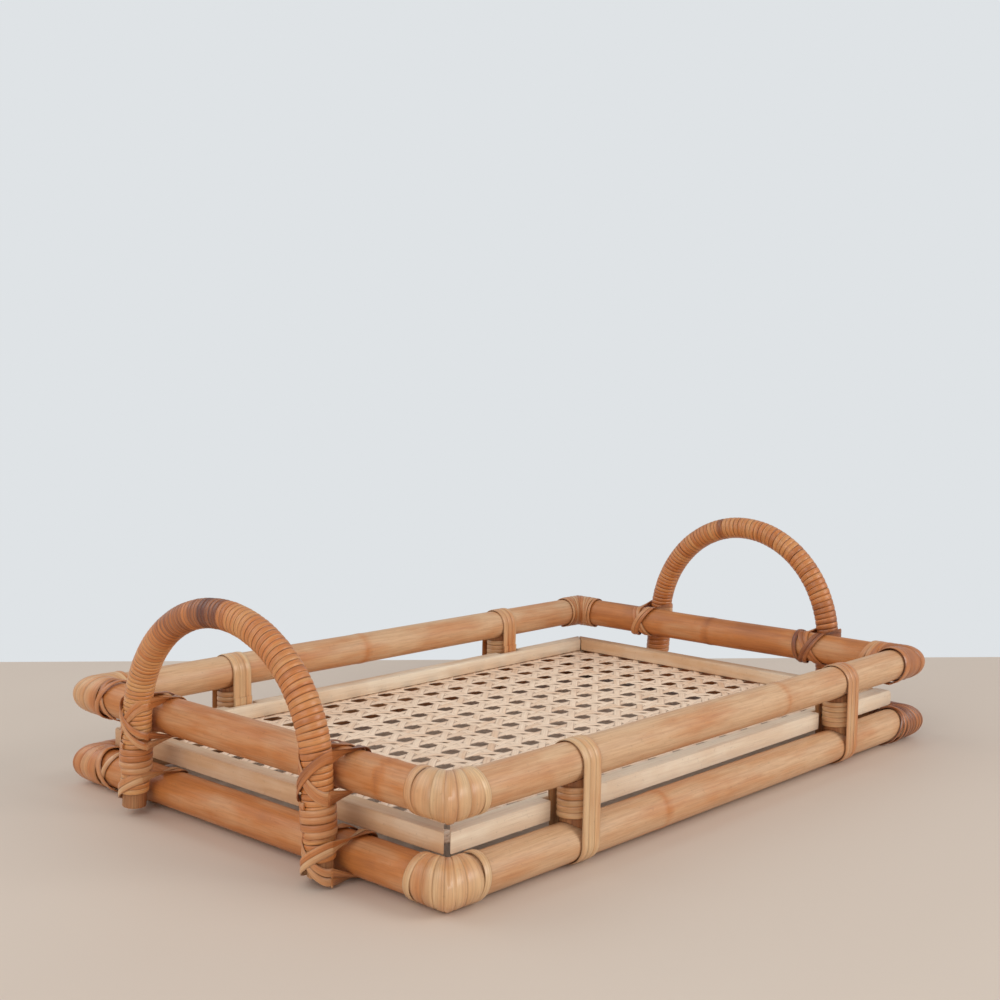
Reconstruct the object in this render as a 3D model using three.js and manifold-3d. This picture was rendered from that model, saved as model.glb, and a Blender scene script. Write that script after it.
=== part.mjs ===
// A serving tray of round poles, with loop handles and a woven cane panel.
//
// Millimetres, +Z up. X runs along the long side, the front is -Y, and the origin is the centre
// of the tray's underside. Two rectangular rings of poles stand one above the other on four
// posts. Split peel binds the corners, the posts and the handles, and a ring of square battens
// holds the cane sheet between the two rings of poles.

import * as THREE from "three";
import { mergeVertices } from "three/addons/utils/BufferGeometryUtils.js";
import Module from "manifold-3d";

// ---- driving dimensions ----

const POLE_RADIUS = 9.7;
const FRAME_LENGTH = 424; // between the axes of the left and right poles
const FRAME_WIDTH = 270.7; // between the axes of the front and back poles
const RING_SPACING = 38.75; // between the axes of the lower and upper rings

const GAP = 0.3; // between pieces that touch
const PEEL = 1.3; // a layer of peel
const STRAP_PEEL = 1.1;
const WINDING_PEEL = 1.5;
const WRAP_PEEL = 1;
const LASHING_PEEL = 1.2;

const CORNER_REACH = 28; // how far a corner binding runs along each pole
const POST_RADIUS = 7.6;
const FRONT_POSTS = [-125, 127];
const BACK_POSTS = [-120.5, 120.5];
const STRAP_WIDTH = 13;

const HANDLE_RADIUS = 6.2; // the bent cane alone
const HANDLE_SPAN = 141; // between the legs at the upper ring
const HANDLE_SPLAY = 3.5; // how far each leg leans out by its foot
const HANDLE_TOP = { left: 114.4, right: 124.3 }; // the bend's axis at its highest
const HANDLE_FOOT = 4.6;
const HANDLE_STAND_OFF = 1; // between a pole and the wrapping of the leg beside it
const WRAP_FOOT = 13; // the wrapping stops here and leaves the cane's end bare
const LASHING_BAND = 7; // two or three strands side by side

const BATTEN_INSET = 6; // from a pole's axis to the batten's outer face
const BATTEN_WIDTH = 10;
const BATTEN_HEIGHT = 8.4;
const NOTCH_SLACK = 0.5; // between a post's strap and the batten cut back for it
const MITRE_GAP = 0.25;
const OPEN_MITRE_GAP = 1.4; // the front left mitre stands open
const FRONT_BATTEN_END = 210; // the front batten runs past the right batten to here

const CANE_THICKNESS = 1.4;
const CANE_PRESSED = 0.2; // how much the battens press the sheet's edge down
const CANE_PITCH = { x: 23.4, y: 18.1 };
const CANE_HOLE = { x: 10.6, y: 9 };
const CANE_COLUMNS = 16;
const CANE_ROWS = 13;
const CANE_BACK_ROW = 115;

const NAIL_RADIUS = 1;
const CORNER_NAIL = { offset: 3, start: -9.4, end: 20 };
const PANEL_NAIL = { start: 15.7, end: -2 };

// ---- sizes that follow from them ----

const POLE_SIDES = 16;
const HANDLE_SIDES = 8;
const HANDLE_STEPS = 24;
const LASHING_SIDES = 10;
const NAIL_SIDES = 8;

const CORNER_X = FRAME_LENGTH / 2;
const CORNER_Y = FRAME_WIDTH / 2;
const SLEEVE = POLE_RADIUS + GAP;
const BINDING_RADIUS = SLEEVE + PEEL;
const STRAP_RADIUS = SLEEVE + STRAP_PEEL;
const LOWER = BINDING_RADIUS;
const UPPER = LOWER + RING_SPACING;
const RINGS = { lower: LOWER, upper: UPPER };
const SIDES = { left: -1, right: 1 };
const FACES = { front: -1, back: 1 };
const POSTS = { front: FRONT_POSTS, back: BACK_POSTS };

const WRAP_INNER = HANDLE_RADIUS + GAP;
const WRAP_OUTER = WRAP_INNER + WRAP_PEEL;
const LASHING_INNER = WRAP_OUTER + GAP;
const LASHING_OUTER = LASHING_INNER + LASHING_PEEL;
const LASHING_ON_POLE = SLEEVE + LASHING_PEEL;
const HANDLE_X = CORNER_X + POLE_RADIUS + WRAP_OUTER + HANDLE_STAND_OFF;

const BATTEN_BASE = LOWER + POLE_RADIUS + CANE_THICKNESS + GAP;
const CANE_TOP = BATTEN_BASE - GAP + CANE_PRESSED;
const NOTCH = { width: 21, inset: STRAP_RADIUS + NOTCH_SLACK };

const FAR = 60; // long enough to reach past any joint

// ---- materials ----

const material = (color, roughness, metalness = 0) => () =>
  new THREE.MeshStandardMaterial({ color, roughness, metalness });

const poleFinish = material(0xd0985f, 0.45);
const caneCoreFinish = material(0xb98152, 0.6);
const peelFinish = material(0xb8713a, 0.4);
const battenFinish = material(0xdcb98c, 0.6);
const caneFinish = material(0xe3cba4, 0.7);
const nailFinish = material(0x8c8c8c, 0.4, 0.9);

// ---- solids ----

const wasm = await Module();
wasm.setup();

function solidOf(geometry) {
  const bare = geometry.clone();
  bare.deleteAttribute("normal");
  bare.deleteAttribute("uv");
  const merged = mergeVertices(bare, 1e-4);
  return new wasm.Manifold(
    new wasm.Mesh({
      numProp: 3,
      vertProperties: merged.attributes.position.array,
      triVerts: new Uint32Array(merged.index.array),
    }),
  );
}

function geometryOf(solid) {
  const mesh = solid.getMesh();
  const geometry = new THREE.BufferGeometry();
  geometry.setAttribute("position", new THREE.BufferAttribute(mesh.vertProperties, 3));
  geometry.setIndex(new THREE.BufferAttribute(mesh.triVerts, 1));
  geometry.computeVertexNormals();
  return geometry;
}

// A straight prism with flat sides at the given distance from its axis, one of them facing down.
// It runs from start to end along X, Y or Z, and passes through the point given by through.
function rod(axis, flat, start, end, through, sides = POLE_SIDES) {
  const geometry = new THREE.CylinderGeometry(
    flat / Math.cos(Math.PI / sides),
    flat / Math.cos(Math.PI / sides),
    end - start,
    sides,
  );
  geometry.rotateY(Math.PI / sides);
  geometry.translate(0, (start + end) / 2, 0);
  if (axis === "x") geometry.rotateZ(-Math.PI / 2);
  if (axis === "z") geometry.rotateX(Math.PI / 2);
  geometry.translate(...through);
  return solidOf(geometry);
}

function block(low, high) {
  const size = high.map((value, i) => value - low[i]);
  const geometry = new THREE.BoxGeometry(...size);
  geometry.translate(...low.map((value, i) => value + size[i] / 2));
  return solidOf(geometry);
}

// What a mitre takes off a bar that meets another at the point given by corner. The corner is
// outwards in the directions right and back, and the bar runs along X or Y.
function mitreWaste(axis, corner, right, back, gap) {
  const geometry = new THREE.BoxGeometry(FAR, FAR, 4 * FAR);
  geometry.rotateZ(Math.PI / 4);
  const side = axis === "x" ? 1 : -1;
  const reach = (FAR / 2 - gap) / Math.SQRT2;
  geometry.translate(corner[0] + side * right * reach, corner[1] - side * back * reach, 0);
  return solidOf(geometry);
}

// ---- the tree of named pieces ----

const tray = new THREE.Group();

function add(name, solid, finish) {
  const mesh = new THREE.Mesh(geometryOf(solid), finish());
  mesh.name = name;
  tray.add(mesh);
}

function eachCorner(visit) {
  for (const [face, back] of Object.entries(FACES)) {
    for (const [side, right] of Object.entries(SIDES)) {
      visit(right, back, `${face}_${side}`);
    }
  }
}

// ---- corner nails ----

// Each runs along X through one mitre, a little inside the frame's corner.
function cornerNail(flat, right, back, height) {
  const ends = [CORNER_NAIL.start, CORNER_NAIL.end].map((inwards) => right * (CORNER_X - inwards));
  const y = back * (CORNER_Y - CORNER_NAIL.offset);
  const slack = flat - NAIL_RADIUS;
  return rod("x", flat, Math.min(...ends) - slack, Math.max(...ends) + slack, [0, y, height], NAIL_SIDES);
}

// ---- poles ----

function pole(axis, side, height) {
  const half = (axis === "x" ? CORNER_X : CORNER_Y) + FAR / 4;
  const through = axis === "x" ? [0, side * CORNER_Y, height] : [side * CORNER_X, 0, height];
  let solid = rod(axis, POLE_RADIUS, -half, half, through);
  eachCorner((right, back) => {
    if ((axis === "x" ? back : right) !== side) return;
    const corner = [right * CORNER_X, back * CORNER_Y];
    solid = solid.subtract(mitreWaste(axis, corner, right, back, MITRE_GAP));
    solid = solid.subtract(cornerNail(NAIL_RADIUS + GAP, right, back, height));
  });
  return solid;
}

for (const [ring, height] of Object.entries(RINGS)) {
  for (const [face, back] of Object.entries(FACES)) {
    add(`${ring}_rail_${face}`, pole("x", back, height), poleFinish);
  }
  for (const [side, right] of Object.entries(SIDES)) {
    add(`${ring}_rail_${side}`, pole("y", right, height), poleFinish);
  }
}

// ---- corner bindings ----

// A sleeve of peel round a mitred corner, open where each pole leaves it.
function elbow(flat, reach, right, back, height) {
  const corner = [right * CORNER_X, back * CORNER_Y, height];
  const overlap = -0.01;
  const arm = (axis, outwards) => {
    const ends = [-outwards * reach, outwards * FAR / 4];
    return rod(axis, flat, Math.min(...ends), Math.max(...ends), corner).subtract(
      mitreWaste(axis, corner, right, back, overlap),
    );
  };
  return arm("x", right).add(arm("y", back));
}

for (const [ring, height] of Object.entries(RINGS)) {
  eachCorner((right, back, name) => {
    const outer = elbow(BINDING_RADIUS, CORNER_REACH, right, back, height);
    const inner = elbow(SLEEVE, CORNER_REACH + 2, right, back, height);
    add(`corner_binding_${ring}_${name}`, outer.subtract(inner), peelFinish);
    add(`corner_nail_${ring}_${name}`, cornerNail(NAIL_RADIUS, right, back, height), nailFinish);
  });
}

// ---- posts, with their windings, straps and panel nails ----

// The outline of a belt round two poles, one above the other, as Y and Z from the lower one.
function beltOutline(flat) {
  const radius = flat / Math.cos(Math.PI / POLE_SIDES);
  const points = [];
  for (let i = 0; i < POLE_SIDES; i += 1) {
    const angle = ((i + 0.5) / POLE_SIDES) * 2 * Math.PI;
    const lift = i < POLE_SIDES / 2 ? RING_SPACING : 0;
    points.push(new THREE.Vector2(radius * Math.cos(angle), radius * Math.sin(angle) + lift));
  }
  return points;
}

function strap(x, y) {
  const shape = new THREE.Shape(beltOutline(STRAP_RADIUS));
  shape.holes.push(new THREE.Path(beltOutline(SLEEVE)));
  const geometry = new THREE.ExtrudeGeometry(shape, { depth: STRAP_WIDTH, bevelEnabled: false });
  const toward = [new THREE.Vector3(0, 1, 0), new THREE.Vector3(0, 0, 1), new THREE.Vector3(1, 0, 0)];
  geometry.applyMatrix4(new THREE.Matrix4().makeBasis(...toward));
  geometry.translate(x - STRAP_WIDTH / 2, y, LOWER);
  return solidOf(geometry);
}

function panelNail(flat, x, back) {
  const ends = [PANEL_NAIL.start, PANEL_NAIL.end].map((inset) => back * (CORNER_Y - inset));
  const slack = flat - NAIL_RADIUS;
  const height = BATTEN_BASE + BATTEN_HEIGHT / 2;
  return rod("y", flat, Math.min(...ends) - slack, Math.max(...ends) + slack, [x, 0, height], NAIL_SIDES);
}

for (const [face, back] of Object.entries(FACES)) {
  const y = back * CORNER_Y;
  Object.keys(SIDES).forEach((side, index) => {
    const x = POSTS[face][index];
    const name = `${face}_${side}`;
    const bore = panelNail(NAIL_RADIUS + GAP, x, back);
    let post = rod("z", POST_RADIUS, LOWER, UPPER, [x, y, 0]);
    for (const height of Object.values(RINGS)) {
      post = post.subtract(rod("x", SLEEVE, x - FAR, x + FAR, [0, y, height]));
    }
    const windingFoot = LOWER + SLEEVE + GAP;
    const windingTop = UPPER - SLEEVE - GAP;
    const winding = rod("z", POST_RADIUS + GAP + WINDING_PEEL, windingFoot, windingTop, [x, y, 0]).subtract(
      rod("z", POST_RADIUS + GAP, windingFoot - 1, windingTop + 1, [x, y, 0]),
    );
    add(`post_${name}`, post.subtract(bore), caneCoreFinish);
    add(`post_winding_${name}`, winding.subtract(bore), peelFinish);
    add(`post_strap_${name}`, strap(x, y).subtract(bore), peelFinish);
    add(`panel_nail_${name}`, panelNail(NAIL_RADIUS, x, back), nailFinish);
  });
}

// ---- handles, with their wrapping and lashings ----

// The handle's axis: up one leg, over a half round bend, and down the other leg.
function handlePath(side, right) {
  const half = HANDLE_SPAN / 2;
  const rise = HANDLE_TOP[side] - UPPER;
  const points = [];
  const legHeights = [HANDLE_FOOT, (HANDLE_FOOT + UPPER) / 2];
  for (const height of legHeights) {
    const lean = (HANDLE_SPLAY * (UPPER - height)) / UPPER;
    points.push(new THREE.Vector3(right * HANDLE_X, -half - lean, height));
  }
  const bendPoints = 12;
  for (let i = 0; i <= bendPoints; i += 1) {
    const angle = Math.PI * (1 - i / bendPoints);
    const y = half * Math.cos(angle);
    points.push(new THREE.Vector3(right * HANDLE_X, y, UPPER + rise * Math.sin(angle)));
  }
  for (const point of points.slice(0, legHeights.length).reverse()) {
    points.push(new THREE.Vector3(point.x, -point.y, point.z));
  }
  return new THREE.CatmullRomCurve3(points, false, "centripetal");
}

function bentTube(path, flat) {
  const radius = flat / Math.cos(Math.PI / HANDLE_SIDES);
  const section = new THREE.Shape();
  for (let i = 0; i < HANDLE_SIDES; i += 1) {
    const angle = ((i + 0.5) / HANDLE_SIDES) * 2 * Math.PI;
    const point = [radius * Math.cos(angle), radius * Math.sin(angle)];
    if (i === 0) section.moveTo(...point);
    else section.lineTo(...point);
  }
  return solidOf(new THREE.ExtrudeGeometry(section, { steps: HANDLE_STEPS, extrudePath: path }));
}

// Two bands of peel that cross over the leg and pass round behind the pole.
function crossedSlabs(x, y, height) {
  const slab = (turn) => {
    const geometry = new THREE.BoxGeometry(FAR, LASHING_BAND, FAR);
    geometry.rotateX(turn);
    geometry.translate(x, y, height);
    return solidOf(geometry);
  };
  return slab(Math.PI / 4).add(slab(-Math.PI / 4));
}

for (const [side, right] of Object.entries(SIDES)) {
  const path = handlePath(side, right);
  const x = right * HANDLE_X;
  const below = (height) => block([x - FAR, -FRAME_WIDTH, -FAR], [x + FAR, FRAME_WIDTH, height]);
  const wrap = bentTube(path, WRAP_OUTER).subtract(bentTube(path, WRAP_INNER));
  add(`handle_${side}`, bentTube(path, HANDLE_RADIUS), caneCoreFinish);
  add(`handle_wrap_${side}`, wrap.subtract(below(WRAP_FOOT)), peelFinish);

  const legOuter = bentTube(path, LASHING_OUTER).subtract(below(HANDLE_FOOT + 1));
  const legInner = bentTube(path, LASHING_INNER);
  for (const [ring, height] of Object.entries(RINGS)) {
    const lean = (HANDLE_SPLAY * (UPPER - height)) / UPPER;
    const through = [right * CORNER_X, 0, height];
    const poleOuter = rod("y", LASHING_ON_POLE, -CORNER_Y, CORNER_Y, through, LASHING_SIDES);
    const poleInner = rod("y", SLEEVE, -CORNER_Y, CORNER_Y, through, LASHING_SIDES);
    for (const [face, back] of Object.entries(FACES)) {
      const y = back * (HANDLE_SPAN / 2 + lean);
      const bands = crossedSlabs(right * (CORNER_X + HANDLE_X) / 2, y, height);
      const lashing = bands.intersect(poleOuter.add(legOuter)).subtract(poleInner).subtract(legInner);
      add(`lashing_${ring}_${side}_${face}`, lashing, peelFinish);
    }
  }
}

// ---- panel ----

const panelX = CORNER_X - BATTEN_INSET;
const panelY = CORNER_Y - BATTEN_INSET;

// What the panel leaves out at each post: room for the post and its strap.
function postNotches() {
  const notches = [];
  for (const [face, back] of Object.entries(FACES)) {
    for (const x of POSTS[face]) {
      const ys = [back * (CORNER_Y - NOTCH.inset), back * (CORNER_Y + FAR)];
      const low = [x - NOTCH.width / 2, Math.min(...ys), 0];
      const high = [x + NOTCH.width / 2, Math.max(...ys), UPPER];
      notches.push(block(low, high));
    }
  }
  return notches;
}

function batten(axis, side) {
  const top = BATTEN_BASE + BATTEN_HEIGHT;
  const isFront = axis === "x" && side < 0;
  let solid;
  if (axis === "x") {
    const ys = [side * panelY, side * (panelY - BATTEN_WIDTH)];
    const end = isFront ? FRONT_BATTEN_END : panelX;
    solid = block([-panelX, Math.min(...ys), BATTEN_BASE], [end, Math.max(...ys), top]);
    for (const notch of postNotches()) solid = solid.subtract(notch);
    POSTS[isFront ? "front" : "back"].forEach((x) => {
      solid = solid.subtract(panelNail(NAIL_RADIUS + GAP, x, side));
    });
  } else {
    const xs = [side * panelX, side * (panelX - BATTEN_WIDTH)];
    const start = side > 0 ? -panelY + BATTEN_WIDTH + GAP : -panelY;
    solid = block([Math.min(...xs), start, BATTEN_BASE], [Math.max(...xs), panelY, top]);
  }
  eachCorner((right, back) => {
    const butted = back < 0 && right > 0;
    if (butted || (axis === "x" ? back : right) !== side) return;
    const gap = back < 0 && right < 0 ? OPEN_MITRE_GAP : MITRE_GAP;
    const corner = [right * panelX, back * panelY];
    solid = solid.subtract(mitreWaste(axis, corner, right, back, gap));
  });
  return solid;
}

for (const [face, back] of Object.entries(FACES)) {
  add(`batten_${face}`, batten("x", back), battenFinish);
}
for (const [side, right] of Object.entries(SIDES)) {
  add(`batten_${side}`, batten("y", right), battenFinish);
}

function canePanel() {
  const sheet = new THREE.Shape();
  sheet.moveTo(-panelX, -panelY);
  sheet.lineTo(panelX, -panelY);
  sheet.lineTo(panelX, panelY);
  sheet.lineTo(-panelX, panelY);
  for (let column = 0; column < CANE_COLUMNS; column += 1) {
    for (let row = 0; row < CANE_ROWS; row += 1) {
      const x = (column - (CANE_COLUMNS - 1) / 2) * CANE_PITCH.x;
      const y = CANE_BACK_ROW - row * CANE_PITCH.y;
      const hole = new THREE.Path();
      hole.moveTo(x - CANE_HOLE.x / 2, y);
      hole.lineTo(x, y - CANE_HOLE.y / 2);
      hole.lineTo(x + CANE_HOLE.x / 2, y);
      hole.lineTo(x, y + CANE_HOLE.y / 2);
      sheet.holes.push(hole);
    }
  }
  const geometry = new THREE.ExtrudeGeometry(sheet, { depth: CANE_THICKNESS, bevelEnabled: false });
  geometry.translate(0, 0, CANE_TOP - CANE_THICKNESS);
  let solid = solidOf(geometry);
  for (const notch of postNotches()) solid = solid.subtract(notch);

  // The battens press the sheet's edge a little lower than the field between them.
  const fieldX = panelX - BATTEN_WIDTH - GAP;
  const fieldY = panelY - BATTEN_WIDTH - GAP;
  const pressed = CANE_TOP - CANE_PRESSED;
  const above = block([-FRAME_LENGTH, -FRAME_WIDTH, pressed], [FRAME_LENGTH, FRAME_WIDTH, UPPER]);
  const field = block([-fieldX, -fieldY, 0], [fieldX, fieldY, UPPER + 1]);
  return solid.subtract(above.subtract(field));
}

add("cane_panel", canePanel(), caneFinish);

export default tray;
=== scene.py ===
"""A serving tray of round poles, with loop handles and a woven cane panel.

Metres, +Z up. X runs along the long side, and the front is -Y. Each new piece keeps two things at
every vertex: fibre, the wood's own coordinates, with its length first, and age, from 0 on pale new
wood to 1 on dark old wood. On a strip, the second part of fibre runs across it from -1 to 1.
"""

import bisect
import math
import random

import bmesh
import bpy
from mathutils import Matrix, Vector, noise


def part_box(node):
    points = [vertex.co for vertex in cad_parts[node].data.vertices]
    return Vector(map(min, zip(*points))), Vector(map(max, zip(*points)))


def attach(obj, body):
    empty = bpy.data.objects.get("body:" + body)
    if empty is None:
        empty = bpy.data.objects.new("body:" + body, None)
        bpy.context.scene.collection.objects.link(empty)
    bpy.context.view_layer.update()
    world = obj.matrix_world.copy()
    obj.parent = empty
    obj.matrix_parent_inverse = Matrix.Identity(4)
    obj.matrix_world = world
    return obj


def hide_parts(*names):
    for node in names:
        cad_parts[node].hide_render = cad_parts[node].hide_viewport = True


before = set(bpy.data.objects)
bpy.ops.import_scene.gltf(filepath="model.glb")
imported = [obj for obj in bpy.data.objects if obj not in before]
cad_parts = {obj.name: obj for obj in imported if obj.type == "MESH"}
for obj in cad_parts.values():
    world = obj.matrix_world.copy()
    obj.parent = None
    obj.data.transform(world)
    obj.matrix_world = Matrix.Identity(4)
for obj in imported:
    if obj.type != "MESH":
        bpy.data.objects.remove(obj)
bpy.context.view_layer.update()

# ---- sizes ----

MM = 0.001
TAU = math.tau
SIDES = {"left": -1, "right": 1}
FACES = {"front": -1, "back": 1}
RINGS = ("lower", "upper")


def middle(node):
    low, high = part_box(node)
    return (low + high) / 2


HEIGHTS = {ring: middle(f"{ring}_rail_front").z for ring in RINGS}
CORNER_X = middle("upper_rail_right").x
CORNER_Y = middle("upper_rail_back").y
POLE_RADIUS = 9.7 * MM
SLEEVE = 10.0 * MM  # the inside of what is bound round a pole

PEEL_THICKNESS = 0.8 * MM
WRAP_THICKNESS = 0.95 * MM
LASHING_INNER = 7.6 * MM

# The outline of a strip: across it from -1 to 1, and up from its flat side from 0 to 1.
PEEL_SECTION = [(-1, 0.3), (-0.86, 0.8), (-0.4, 1), (0.4, 1), (0.86, 0.8), (1, 0.3), (0.6, 0), (-0.6, 0)]
CANE_SECTION = [(-1, 0.3), (-0.62, 1), (0.62, 1), (1, 0.3), (0, 0)]


def smooth(value, low, high):
    share = min(max((value - low) / (high - low), 0), 1)
    return share * share * (3 - 2 * share)


def drift(travel, seed, wave):
    """A slow, even-handed wander between about -1 and 1 along travel."""
    return noise.noise(Vector((travel / wave, seed * 7.31, seed * 3.17)))


# ---- finishes ----


def linear(red, green, blue):
    def channel(value):
        value /= 255
        return value / 12.92 if value <= 0.04045 else ((value + 0.055) / 1.055) ** 2.4

    return (channel(red), channel(green), channel(blue), 1)


def put(tree, kind, links=None, **settings):
    """Adds a node, with its settings, and with its sockets either set or linked."""
    node = tree.nodes.new(kind)
    for key, value in settings.items():
        setattr(node, key, value)
    for key, value in (links or {}).items():
        if isinstance(value, bpy.types.NodeSocket):
            tree.links.new(value, node.inputs[key])
        else:
            node.inputs[key].default_value = value
    return node


def maths(tree, operation, *values, clamp=False):
    links = dict(enumerate(values))
    return put(tree, "ShaderNodeMath", links, operation=operation, use_clamp=clamp).outputs[0]


def mixed(tree, factor, first, second):
    links = {0: factor, 6: first, 7: second}
    return put(tree, "ShaderNodeMix", links, data_type="RGBA").outputs[2]


def eased(tree, value, low, high):
    """0 below low and 1 above high, with a soft rise between them."""
    links = {"Value": value, "From Min": low, "From Max": high}
    return put(tree, "ShaderNodeMapRange", links, interpolation_type="SMOOTHSTEP").outputs[0]


def mottled(tree, vector, scale, detail, roughness=0.5):
    links = {"Vector": vector, "Scale": scale, "Detail": detail, "Roughness": roughness}
    return put(tree, "ShaderNodeTexNoise", links).outputs[0]


def stretched(tree, vector, along, across):
    scale = put(tree, "ShaderNodeCombineXYZ", {0: along, 1: across, 2: across}).outputs[0]
    return put(tree, "ShaderNodeVectorMath", {0: vector, 1: scale}, operation="MULTIPLY").outputs[0]


def shared_effect(name, inputs, outputs):
    tree = bpy.data.node_groups.new(name, "ShaderNodeTree")
    for socket, kind, value in inputs:
        made = tree.interface.new_socket(socket, in_out="INPUT", socket_type="NodeSocket" + kind)
        made.default_value = value
    for socket, kind in outputs:
        tree.interface.new_socket(socket, in_out="OUTPUT", socket_type="NodeSocket" + kind)
    return tree, put(tree, "NodeGroupInput").outputs, put(tree, "NodeGroupOutput").inputs


# Each mark in the grain: how much finer than the streaks it is along them and across them, its detail
# and roughness, and where it begins and is full.
GRAIN_MARKS = {
    "Streak": (1, 1, 5, 0.65, 0.34, 0.68),
    "Pore": (3.5, 2.2, 2, 0.5, 0.56, 0.72),
    "Patch": (0.5, 0.12, 3, 0.5, 0.3, 0.7),
}


def build_grain():
    """Long thin streaks that follow the fibre, pores in them, and slow changes of tone along them."""
    inputs = [("Fibre", "Vector", (0, 0, 0)), ("Along", "Float", 25), ("Across", "Float", 900)]
    tree, given, out = shared_effect("grain", inputs, [(mark, "Float") for mark in GRAIN_MARKS])
    for mark, (finer_along, finer_across, detail, roughness, low, high) in GRAIN_MARKS.items():
        along = maths(tree, "MULTIPLY", given["Along"], finer_along)
        across = maths(tree, "MULTIPLY", given["Across"], finer_across)
        pattern = mottled(tree, stretched(tree, given["Fibre"], along, across), 1, detail, roughness)
        tree.links.new(eased(tree, pattern, low, high), out[mark])
    return tree


def build_ageing():
    """The colour at an age, from new through used to old."""
    inputs = [("Age", "Float", 0.5)] + [(name, "Color", (1, 1, 1, 1)) for name in ("New", "Used", "Old")]
    tree, given, out = shared_effect("ageing", inputs, [("Colour", "Color")])
    early = maths(tree, "MULTIPLY", given["Age"], 2, clamp=True)
    late = maths(tree, "MULTIPLY_ADD", given["Age"], 2, -1, clamp=True)
    used = mixed(tree, early, given["New"], given["Used"])
    tree.links.new(mixed(tree, late, used, given["Old"]), out["Colour"])
    return tree


def build_rim():
    """A mask that rises towards both edges of a strip, for painted shade in the creases where strips meet."""
    inputs = [("Fibre", "Vector", (0, 0, 0)), ("Start", "Float", 0.8)]
    tree, given, out = shared_effect("strip_rim", inputs, [("Rim", "Float")])
    across = put(tree, "ShaderNodeSeparateXYZ", {0: given["Fibre"]}).outputs[1]
    rim = eased(tree, maths(tree, "ABSOLUTE", across), given["Start"], 1.0)
    tree.links.new(rim, out["Rim"])
    return tree


def build_scuffs():
    """Soft rubbed places and small specks, in the object's own space."""
    inputs = [("Place", "Vector", (0, 0, 0)), ("Scale", "Float", 30)]
    tree, given, out = shared_effect("scuffs", inputs, [("Rubbed", "Float"), ("Speck", "Float")])
    rubbed = mottled(tree, given["Place"], given["Scale"], 4)
    speck = mottled(tree, given["Place"], maths(tree, "MULTIPLY", given["Scale"], 14), 1)
    tree.links.new(eased(tree, rubbed, 0.42, 0.66), out["Rubbed"])
    tree.links.new(eased(tree, speck, 0.66, 0.76), out["Speck"])
    return tree


GRAIN = build_grain()
AGEING = build_ageing()
STRIP_RIM = build_rim()
SCUFFS = build_scuffs()


def effect(tree, group, links):
    return put(tree, "ShaderNodeGroup", links, node_tree=group).outputs


def attribute(tree, name):
    return put(tree, "ShaderNodeAttribute", attribute_name=name, attribute_type="GEOMETRY")


def bare_material(name):
    material = bpy.data.materials.new(name)
    material.use_nodes = True
    material.node_tree.nodes.clear()
    return material, material.node_tree


def add_surface(tree, links):
    surface = put(tree, "ShaderNodeBsdfPrincipled", links)
    put(tree, "ShaderNodeOutputMaterial", {"Surface": surface.outputs[0]})


PORE_DIRT = linear(88, 52, 30)
SPECK_DIRT = linear(96, 62, 40)
# painted shade: the dark colour a strip's edges take on where it meets the next strip in a crease
RIM_SHADE = linear(84, 44, 22)
SPECK_SHARE = 0.12
RIM_START = 0.72
SCUFF_SCALE = 34
PATCH_AGE = 0.34  # how far the age changes from patch to patch
RUBBED_AGE = -0.12
GRAIN_DEPTH = 0.3 * MM


def wooden(name, colours, grain, streaks, rough, rim=0.0, bump=0.25, coat=0.0):
    """A finish for cane or wood. colours are its new, used and old ones. grain is the two scales of the
    streaks, streaks how dark they are, and rim how dark a strip's edges are, as painted shade in the
    creases between strips."""
    material, tree = bare_material(name)
    fibre = attribute(tree, "fibre").outputs["Vector"]
    age = attribute(tree, "age").outputs["Fac"]
    place = put(tree, "ShaderNodeTexCoord").outputs["Object"]
    lines = effect(tree, GRAIN, {"Fibre": fibre, "Along": grain[0], "Across": grain[1]})
    scuffs = effect(tree, SCUFFS, {"Place": place, "Scale": SCUFF_SCALE})

    older = maths(tree, "MULTIPLY_ADD", lines["Patch"], PATCH_AGE, maths(tree, "ADD", age, -PATCH_AGE / 2))
    older = maths(tree, "MULTIPLY_ADD", scuffs["Rubbed"], RUBBED_AGE, older)
    new, used, old = (linear(*colour) for colour in colours)
    colour = effect(tree, AGEING, {"Age": older, "New": new, "Used": used, "Old": old})["Colour"]
    marks = [
        (lines["Streak"], streaks, old),
        (lines["Pore"], streaks / 2, PORE_DIRT),
        (scuffs["Speck"], SPECK_SHARE, SPECK_DIRT),
    ]
    # painted shade darkens each strip towards its edges, where it meets the next strip
    if rim:
        edge = effect(tree, STRIP_RIM, {"Fibre": fibre, "Start": RIM_START})["Rim"]
        marks.append((edge, rim, RIM_SHADE))
    for mask, share, dirt_and_shade in marks:
        colour = mixed(tree, maths(tree, "MULTIPLY", mask, share), colour, dirt_and_shade)

    worn = maths(tree, "MULTIPLY_ADD", scuffs["Rubbed"], 0.14, rough)
    worn = maths(tree, "MULTIPLY_ADD", lines["Streak"], 0.08, worn)
    height = maths(tree, "MULTIPLY_ADD", lines["Pore"], -0.6, maths(tree, "MULTIPLY", lines["Streak"], -0.5))
    relief = put(tree, "ShaderNodeBump", {"Strength": bump, "Distance": GRAIN_DEPTH, "Height": height})
    links = {"Base Color": colour, "Roughness": worn, "Normal": relief.outputs[0]}
    add_surface(tree, links | {"Coat Weight": coat, "Coat Roughness": 0.28})
    return material


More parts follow.
